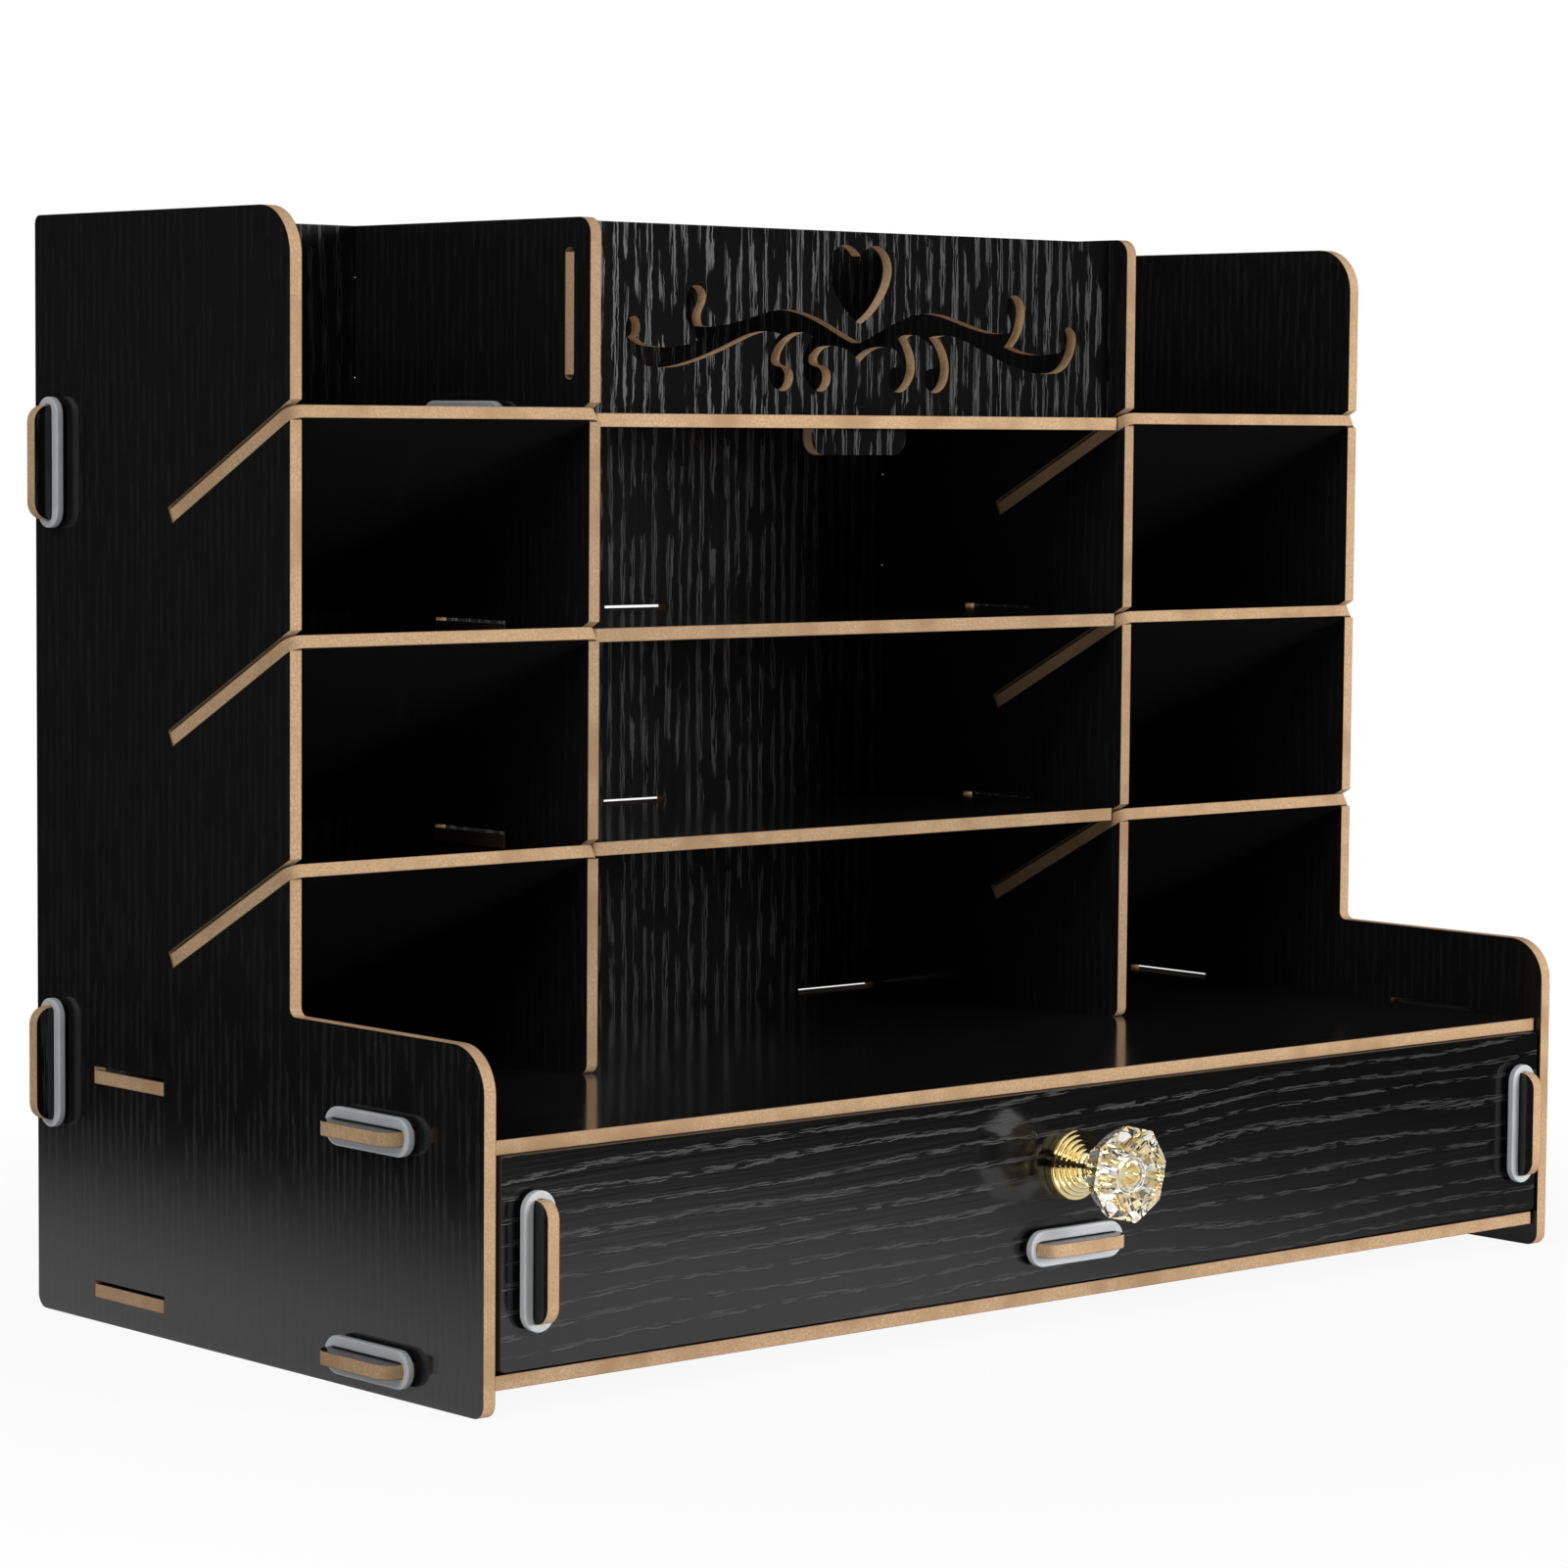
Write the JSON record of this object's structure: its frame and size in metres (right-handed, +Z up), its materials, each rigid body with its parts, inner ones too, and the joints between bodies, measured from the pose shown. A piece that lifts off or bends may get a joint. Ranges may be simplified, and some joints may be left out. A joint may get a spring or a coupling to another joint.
{
  "type": "desk organizer",
  "caption": "Free-standing flat-pack desk organizer of slotted black boards: sloping side shelves, level middle shelves, cut-out ornament panel and a wide drawer with a crystal knob.",
  "frame": {"origin": "on the floor, under the middle of the whole object's box", "axes": "+X to the right seen from the front, +Y to the back, +Z up; the drawer opens along -Y"},
  "size_m": [0.4514, 0.2418, 0.3205],
  "materials": {
    "black_board": "black embossed wood-grain laminate on fibreboard, raw tan edges",
    "ring_plastic": "pale grey translucent moulded plastic",
    "gold_metal": "polished gold plating",
    "clear_crystal": "clear cut crystal",
    "screw_steel": "zinc-plated"
  },
  "bodies": {
    "cabinet": {"side_left": "black_board", "side_right": "black_board", "back_panel": "black_board", "divider_left": "black_board", "divider_right": "black_board", "ornament_panel": "black_board", "deck": "black_board", "base_board": "black_board", "rings_left_side": "ring_plastic", "rings_right_side": "ring_plastic", "rings_dividers": "ring_plastic", "slope_shelf_left_1": "black_board", "slope_shelf_left_2": "black_board", "slope_shelf_left_3": "black_board", "slope_shelf_right_1": "black_board", "slope_shelf_right_2": "black_board", "slope_shelf_right_3": "black_board", "middle_shelf_1": "black_board", "middle_shelf_2": "black_board", "middle_shelf_3": "black_board"},
    "drawer": {"drawer_front": "black_board", "drawer_side_left": "black_board", "drawer_side_right": "black_board", "drawer_back": "black_board", "drawer_floor": "black_board", "rings_drawer": "ring_plastic", "knob_rosette": "gold_metal", "knob_crystal": "clear_crystal", "knob_stud": "gold_metal", "knob_screw": "screw_steel"}
  },
  "joints": [
    {"name": "drawer_slide", "type": "slide", "parent": "cabinet", "child": "drawer", "axis": [0, -1, 0], "range_m": [0, 0.13]}
  ]
}
